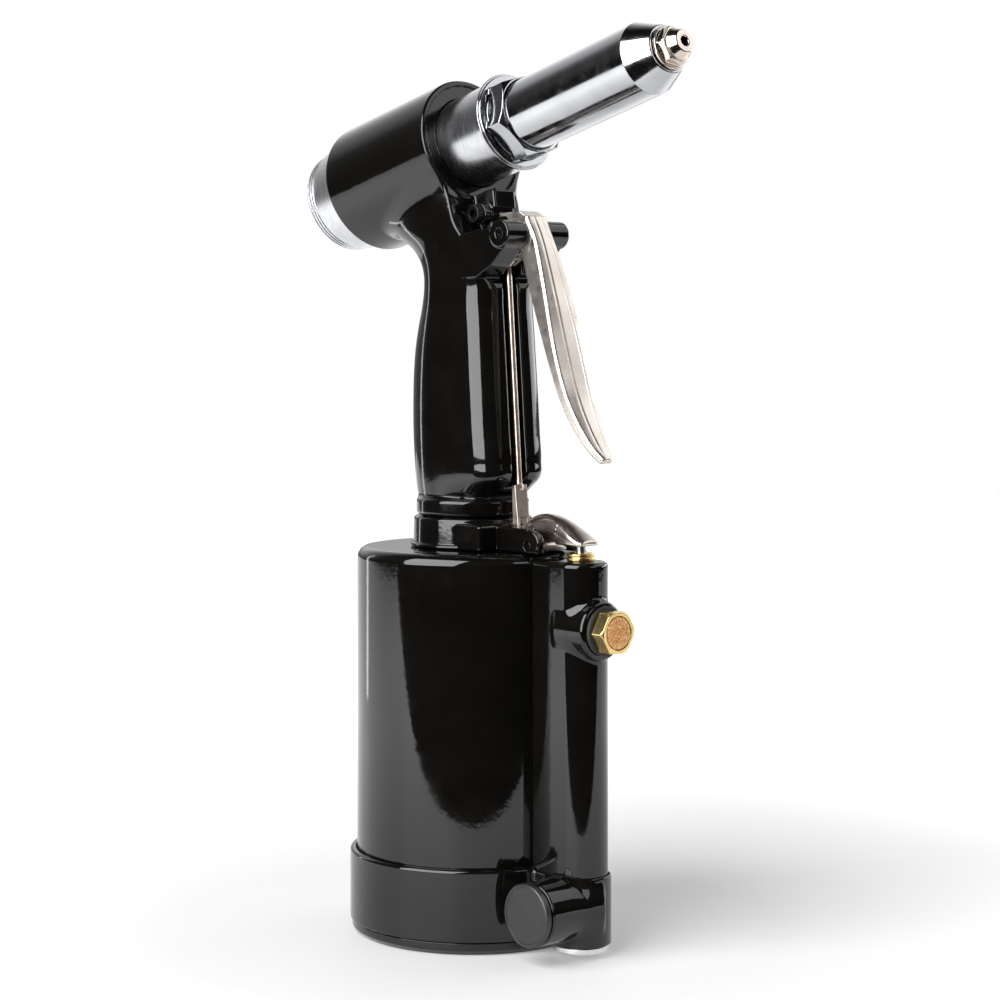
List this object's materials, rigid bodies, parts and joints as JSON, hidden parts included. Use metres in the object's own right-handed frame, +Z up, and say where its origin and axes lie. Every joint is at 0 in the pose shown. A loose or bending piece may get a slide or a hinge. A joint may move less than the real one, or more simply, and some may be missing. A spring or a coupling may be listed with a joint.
{
  "type": "pneumatic rivet gun",
  "caption": "Air-hydraulic blind rivet gun: tilted head with draw jaws, pistol grip, long trigger working a rod and rocker, and a wide air cylinder that it stands on.",
  "frame": {"origin": "centre of the base cover's flat underside, on the air cylinder's axis", "axes": "+Z up along the air cylinder's axis, +X towards the nose, +Y to the left seen from the rear"},
  "size_m": [0.1991, 0.0954, 0.3434],
  "materials": {
    "air_cylinder": "gloss black paint on cast aluminium",
    "valve_housing": "gloss black paint on cast aluminium",
    "base_cap": "gloss black paint on cast aluminium",
    "bottom_cover": "gloss black paint on cast aluminium",
    "bottom_plug": "satin",
    "inlet_plug": "satin",
    "muffler_washer": "matte",
    "muffler_body": "satin",
    "muffler_disc": "satin",
    "valve_cap": "satin",
    "neck_nut": "satin",
    "ram_gland": "satin",
    "ram_seal": "matte",
    "piston_cushion": "matte",
    "rocker_bracket": "gloss black paint on cast aluminium",
    "rocker_pin": "satin",
    "grip_body": "gloss black paint on cast aluminium",
    "oil_screw": "satin",
    "trigger_pin": "satin",
    "front_collar": "polished",
    "barrel_nut": "polished",
    "nose_barrel": "polished",
    "nosepiece": "polished nickel plate",
    "rear_cap": "satin",
    "mandrel_tube": "satin",
    "rod_seal": "matte",
    "seal_retainer": "satin",
    "valve_spring": "satin",
    "return_spring": "satin",
    "trigger": "polished nickel plate",
    "upper_link_pin": "satin",
    "trigger_rod": "polished nickel plate",
    "rocker": "polished nickel plate",
    "lower_link_pin": "satin",
    "valve_stem": "satin",
    "valve_spool": "satin",
    "ram": "satin",
    "air_piston": "satin",
    "air_piston_seal": "matte",
    "ram_nut": "satin",
    "draw_piston": "satin",
    "draw_piston_seal": "matte",
    "jaw_case": "satin",
    "jaw_spring": "satin",
    "jaw_pusher": "satin",
    "jaw_1": "satin",
    "jaw_2": "satin",
    "jaw_3": "satin"
  },
  "bodies": {
    "gun_body": {"air_cylinder": "air_cylinder", "valve_housing": "valve_housing", "base_cap": "base_cap", "bottom_cover": "bottom_cover", "bottom_plug": "bottom_plug", "inlet_plug": "inlet_plug", "muffler_washer": "muffler_washer", "muffler_body": "muffler_body", "muffler_disc": "muffler_disc", "valve_cap": "valve_cap", "neck_nut": "neck_nut", "ram_gland": "ram_gland", "ram_seal": "ram_seal", "piston_cushion": "piston_cushion", "rocker_bracket": "rocker_bracket", "rocker_pin": "rocker_pin", "grip_body": "grip_body", "oil_screw": "oil_screw", "trigger_pin": "trigger_pin", "front_collar": "front_collar", "barrel_nut": "barrel_nut", "nose_barrel": "nose_barrel", "nosepiece": "nosepiece", "rear_cap": "rear_cap", "mandrel_tube": "mandrel_tube", "rod_seal": "rod_seal", "seal_retainer": "seal_retainer", "valve_spring": "valve_spring", "return_spring": "return_spring"},
    "trigger": {"trigger": "trigger", "upper_link_pin": "upper_link_pin"},
    "trigger_rod": {"trigger_rod": "trigger_rod"},
    "rocker": {"rocker": "rocker", "lower_link_pin": "lower_link_pin"},
    "valve": {"valve_stem": "valve_stem", "valve_spool": "valve_spool"},
    "ram": {"ram": "ram", "air_piston": "air_piston", "air_piston_seal": "air_piston_seal", "ram_nut": "ram_nut"},
    "draw_unit": {"draw_piston": "draw_piston", "draw_piston_seal": "draw_piston_seal", "jaw_case": "jaw_case", "jaw_spring": "jaw_spring"},
    "jaw_pusher": {"jaw_pusher": "jaw_pusher"},
    "jaw_1": {"jaw_1": "jaw_1"},
    "jaw_2": {"jaw_2": "jaw_2"},
    "jaw_3": {"jaw_3": "jaw_3"}
  },
  "joints": [
    {"name": "trigger_pivot", "type": "hinge", "parent": "gun_body", "child": "trigger", "pos_m": [0.0325, 0, 0.2686], "axis": [0, 1, 0], "range_deg": [0, 7], "stiffness_Nm_per_rad": 0.35},
    {"name": "upper_link_pivot", "type": "hinge", "parent": "trigger", "child": "trigger_rod", "pos_m": [0.0203, 0, 0.2596], "axis": [0, 1, 0], "range_deg": [-8, 0]},
    {"name": "rocker_pivot", "type": "hinge", "parent": "gun_body", "child": "rocker", "pos_m": [0.0431, 0, 0.1515], "axis": [0, 1, 0], "range_deg": [0, 6.6]},
    {"name": "valve_slide", "type": "slide", "parent": "gun_body", "child": "valve", "axis": [0, 0, -1], "range_m": [0, 0.002], "deforming": ["valve_spring"]},
    {"name": "ram_slide", "type": "slide", "parent": "gun_body", "child": "ram", "axis": [0, 0, 1], "range_m": [0, 0.085]},
    {"name": "draw_slide", "type": "slide", "parent": "gun_body", "child": "draw_unit", "axis": [-0.9681, 0, -0.2504], "range_m": [0, 0.0161], "deforming": ["return_spring"]},
    {"name": "pusher_slide", "type": "slide", "parent": "draw_unit", "child": "jaw_pusher", "axis": [0.9681, 0, 0.2504], "range_m": [0, 0.0017], "deforming": ["jaw_spring"]},
    {"name": "jaw_1_slide", "type": "slide", "parent": "draw_unit", "child": "jaw_1", "axis": [0.9168, 0, 0.3994], "range_m": [0, 0.0017]},
    {"name": "jaw_2_slide", "type": "slide", "parent": "draw_unit", "child": "jaw_2", "axis": [0.9758, -0.1361, 0.1712], "range_m": [0, 0.0017]},
    {"name": "jaw_3_slide", "type": "slide", "parent": "draw_unit", "child": "jaw_3", "axis": [0.9758, 0.1361, 0.1712], "range_m": [0, 0.0017]}
  ],
  "couplings": [
    {"joint": "upper_link_pivot", "follows": "trigger_pivot", "ratio": -1.1234},
    {"joint": "rocker_pivot", "follows": "trigger_pivot", "ratio": 0.92786},
    {"joint": "valve_slide", "follows": "trigger_pivot", "m_per_rad": 0.016052},
    {"joint": "draw_slide", "follows": "ram_slide", "ratio": 0.18824},
    {"joint": "pusher_slide", "follows": "ram_slide", "ratio": 0.01859},
    {"joint": "jaw_1_slide", "follows": "ram_slide", "ratio": 0.018824},
    {"joint": "jaw_2_slide", "follows": "ram_slide", "ratio": 0.018824},
    {"joint": "jaw_3_slide", "follows": "ram_slide", "ratio": 0.018824}
  ]
}
